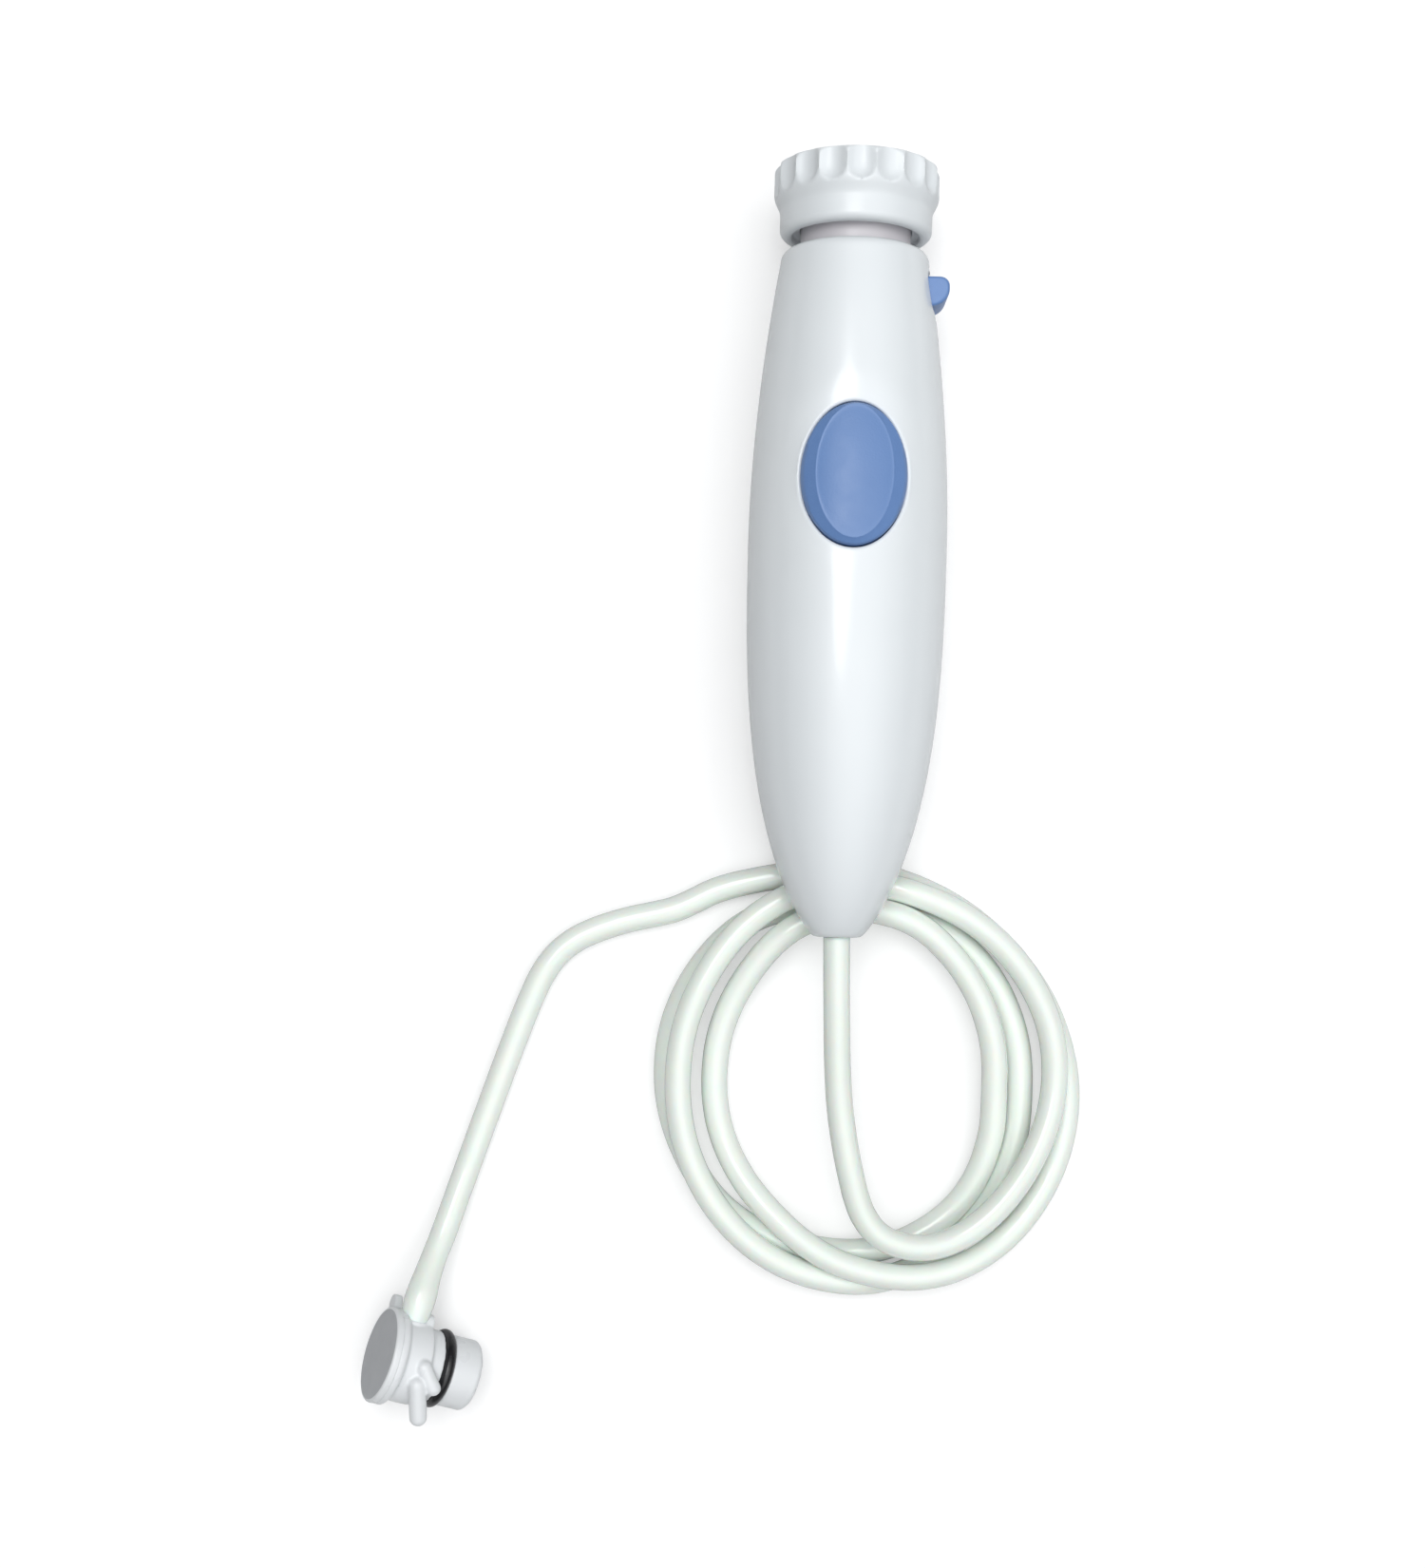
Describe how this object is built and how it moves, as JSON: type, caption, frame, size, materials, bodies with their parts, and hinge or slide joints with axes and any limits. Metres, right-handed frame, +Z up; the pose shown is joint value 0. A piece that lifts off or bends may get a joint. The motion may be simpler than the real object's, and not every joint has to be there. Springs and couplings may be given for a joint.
{
  "type": "water_flosser_handle",
  "caption": "Water flosser handle in glossy white with a fluted tip collar, blue pause and eject buttons, a coiled supply hose and the bayonet connector for its base unit",
  "frame": {"origin": "On the table under the middle of the handle's length, the handle lying on its back", "axes": "+Z up out of the table, +Y along the handle towards the collar, +X towards the eject button"},
  "size_m": [0.1308, 0.2266, 0.0367],
  "materials": {
    "white_gloss": "smooth glossy moulding",
    "grey_plastic": "satin",
    "blue_plastic": "satin",
    "inner_plastic": "plain moulding",
    "cap_grey": "satin",
    "hose_vinyl": "soft milky vinyl",
    "black_rubber": "smooth",
    "steel": "drawn wire and strip"
  },
  "bodies": {
    "handle": {"front_shell": "white_gloss", "rear_shell": "white_gloss", "pause_spring": "steel", "valve_cap": "inner_plastic", "valve_body": "inner_plastic", "tip_seat": "inner_plastic", "seat_oring": "black_rubber", "tip_seal": "black_rubber", "seal_retainer": "inner_plastic", "eject_spring": "steel", "inner_hose": "hose_vinyl", "hose_clamp": "steel", "hose_stop": "inner_plastic", "hose_tail": "hose_vinyl", "hose_coil": "hose_vinyl", "hose_lead": "hose_vinyl", "connector_body": "white_gloss", "connector_cap": "cap_grey", "connector_oring": "black_rubber"},
    "collar": {"collar_ring": "white_gloss", "tip_socket": "grey_plastic"},
    "pause": {"pause_button": "blue_plastic", "valve_plunger": "inner_plastic", "plunger_upper_oring": "black_rubber", "plunger_lower_oring": "black_rubber"},
    "eject": {"eject_button": "blue_plastic"}
  },
  "joints": [
    {"name": "collar_spin", "type": "hinge", "parent": "handle", "child": "collar", "pos_m": [0, 0.058, 0.0177], "axis": [0, 1, 0], "continuous": true},
    {"name": "pause_press", "type": "slide", "parent": "handle", "child": "pause", "axis": [0, 0, -1], "range_m": [0, 0.0025], "stiffness_N_per_m": 500, "springref_m": -0.002, "deforming": ["pause_spring"]},
    {"name": "eject_press", "type": "slide", "parent": "handle", "child": "eject", "axis": [-1, 0, 0], "range_m": [0, 0.002], "stiffness_N_per_m": 600, "springref_m": -0.001, "deforming": ["eject_spring"]}
  ]
}
